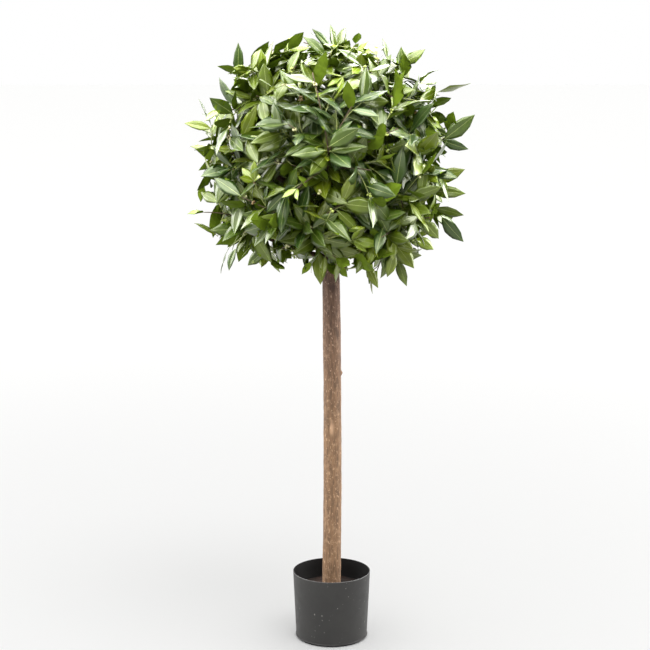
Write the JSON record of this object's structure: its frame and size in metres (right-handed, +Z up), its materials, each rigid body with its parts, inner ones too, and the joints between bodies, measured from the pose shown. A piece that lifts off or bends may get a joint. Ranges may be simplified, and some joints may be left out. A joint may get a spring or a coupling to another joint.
{
  "type": "artificial standard bay tree",
  "caption": "Artificial standard bay tree: a round clipped head of leathery leaves on a bare wooden stem, standing in a small dark pot filled with cement.",
  "frame": {"origin": "middle of the pot's flat underside", "axes": "+Z up along the stem, -Y towards the front of the tree, +X to its right"},
  "size_m": [0.5171, 0.521, 1.1987],
  "materials": {
    "pot": "satin",
    "pot_fill": "matte",
    "trunk": "matte",
    "bough": "matte",
    "foliage": "satin"
  },
  "bodies": {
    "root": {"pot": "pot", "pot_fill": "pot_fill", "trunk": "trunk", "bough_01": "bough", "bough_02": "bough", "bough_03": "bough", "bough_04": "bough", "bough_05": "bough", "bough_06": "bough", "bough_07": "bough", "bough_08": "bough", "bough_09": "bough", "bough_10": "bough", "bough_11": "bough", "bough_12": "bough", "foliage_01": "foliage", "foliage_02": "foliage", "foliage_03": "foliage", "foliage_04": "foliage", "foliage_05": "foliage", "foliage_06": "foliage", "foliage_07": "foliage", "foliage_08": "foliage", "foliage_09": "foliage", "foliage_10": "foliage", "foliage_11": "foliage", "foliage_12": "foliage", "foliage_top": "foliage"}
  },
  "joints": []
}
